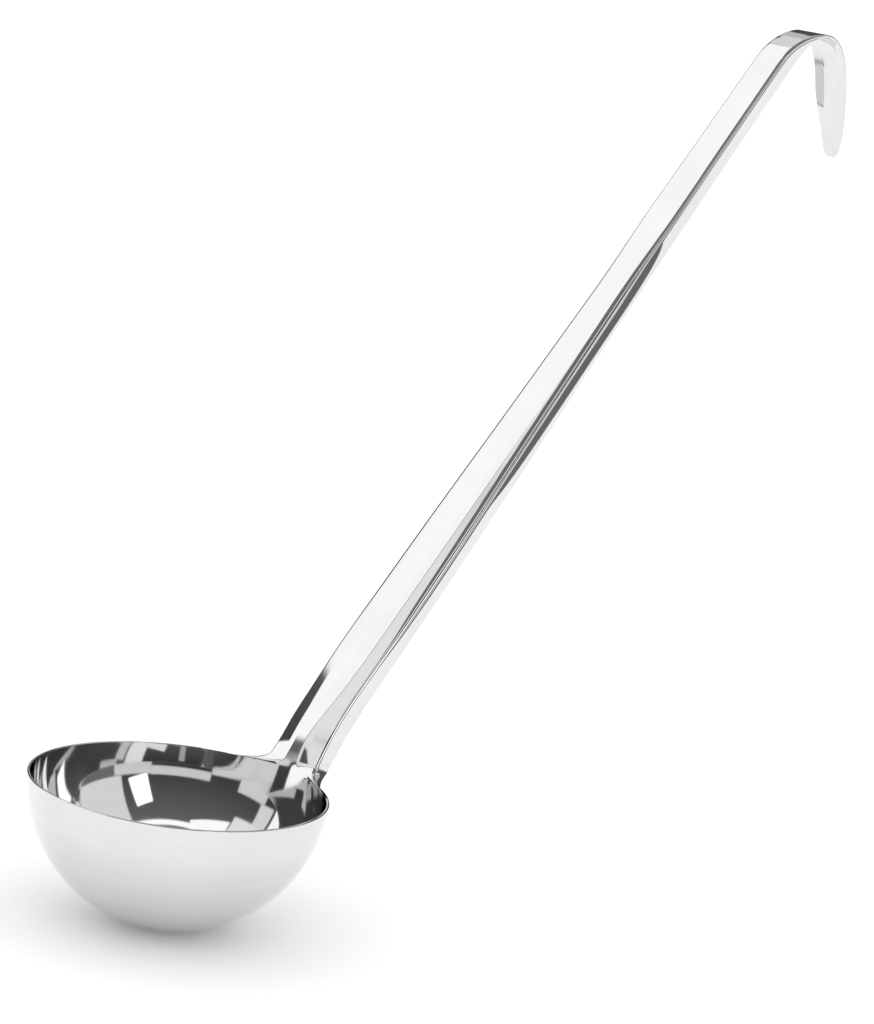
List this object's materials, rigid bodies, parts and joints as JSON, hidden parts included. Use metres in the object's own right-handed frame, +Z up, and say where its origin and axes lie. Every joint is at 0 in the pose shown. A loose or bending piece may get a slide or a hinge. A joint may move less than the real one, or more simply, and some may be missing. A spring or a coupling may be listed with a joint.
{
  "type": "soup ladle",
  "caption": "Soup ladle in polished stainless sheet: deep round bowl, channel handle welded on at a flared neck, and a rolled-over hook for hanging",
  "frame": {"origin": "middle of the small flat under the bowl, which the bowl stands on", "axes": "+Z up along the axis of the bowl, square to the rim; +X from the bowl towards the hook; +Y across the handle, and the XZ plane is the plane of symmetry"},
  "size_m": [0.3508, 0.1, 0.3089],
  "materials": {
    "polished_steel": "mirror-polished stainless sheet with faint polishing lines",
    "weld_steel": "weld metal, ground and polished flush on the top side"
  },
  "bodies": {
    "root": {"bowl": "polished_steel", "handle": "polished_steel", "neck_weld": "weld_steel"}
  },
  "joints": []
}
